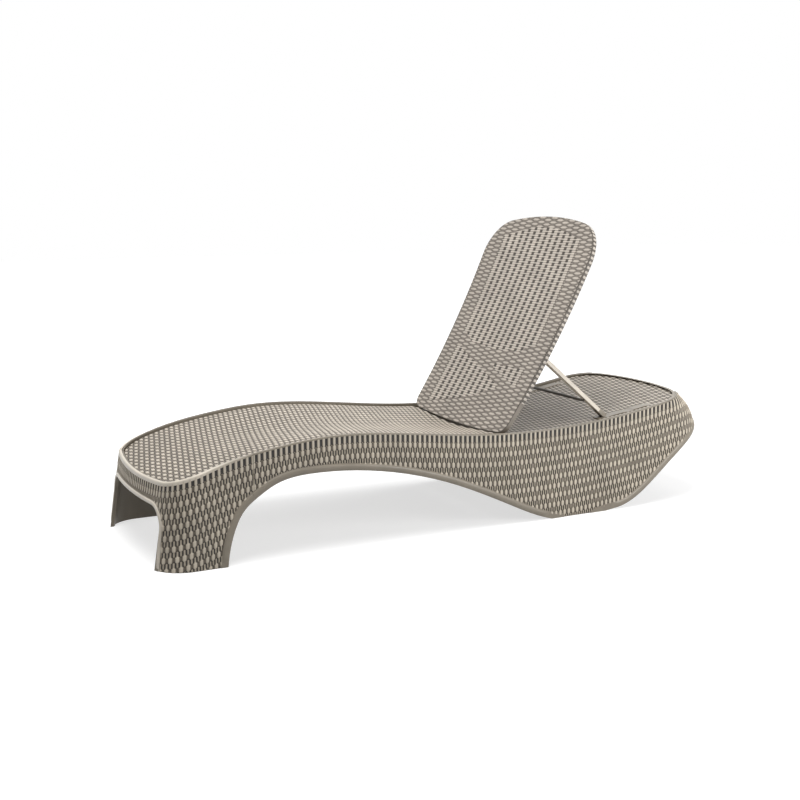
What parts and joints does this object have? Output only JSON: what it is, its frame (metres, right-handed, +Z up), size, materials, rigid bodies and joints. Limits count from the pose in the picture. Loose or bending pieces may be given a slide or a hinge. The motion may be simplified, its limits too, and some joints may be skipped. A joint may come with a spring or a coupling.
{
  "type": "sun lounger",
  "caption": "Long low sun lounger with a wavy woven-look resin body, arched legs at the foot end, a boat-shaped head end and a hinged back that a folding prop holds up.",
  "frame": {"origin": "on the floor below the middle of the body", "axes": "+X from the foot end to the head end, +Y to the left of a person lying on it, +Z up"},
  "size_m": [1.9545, 0.632, 0.9523],
  "materials": {
    "body_resin": "woven-look moulded relief, satin",
    "panel_resin": "woven-look moulded relief, satin",
    "back_resin": "woven-look moulded relief, satin",
    "prop_resin": "smooth satin",
    "nylon": "smooth",
    "coated_steel": "powder coat",
    "plated_steel": "zinc plated"
  },
  "bodies": {
    "root": {"body_shell": "body_resin", "seat_panel": "panel_resin", "rear_deck": "panel_resin", "seat_beam_front": "coated_steel", "seat_beam_rear": "coated_steel", "hinge_beam": "coated_steel", "hinge_bracket_left": "prop_resin", "hinge_pin_left": "plated_steel", "notch_rail_left": "prop_resin", "bracket_screws_left": "plated_steel", "hinge_bracket_right": "prop_resin", "hinge_pin_right": "plated_steel", "notch_rail_right": "prop_resin", "bracket_screws_right": "plated_steel"},
    "backrest": {"backrest_panel": "back_resin", "hinge_bushes_left": "nylon", "prop_bracket_left": "prop_resin", "prop_pin_left": "plated_steel", "hinge_bushes_right": "nylon", "prop_bracket_right": "prop_resin", "prop_pin_right": "plated_steel"},
    "prop": {"prop_crossbar": "coated_steel", "prop_leg_left": "prop_resin", "prop_foot_left": "nylon", "prop_leg_right": "prop_resin", "prop_foot_right": "nylon"}
  },
  "joints": [
    {"name": "back_recline", "type": "hinge", "parent": "root", "child": "backrest", "pos_m": [0.1495, 0, 0.292], "axis": [0, 1, 0], "range_deg": [0, 55.8]},
    {"name": "prop_fold", "type": "hinge", "parent": "backrest", "child": "prop", "pos_m": [0.289, 0, 0.52135], "axis": [0, 1, 0], "range_deg": [-102.8, 0]}
  ],
  "couplings": [
    {"joint": "prop_fold", "follows": "back_recline", "ratio": -1.8406}
  ]
}
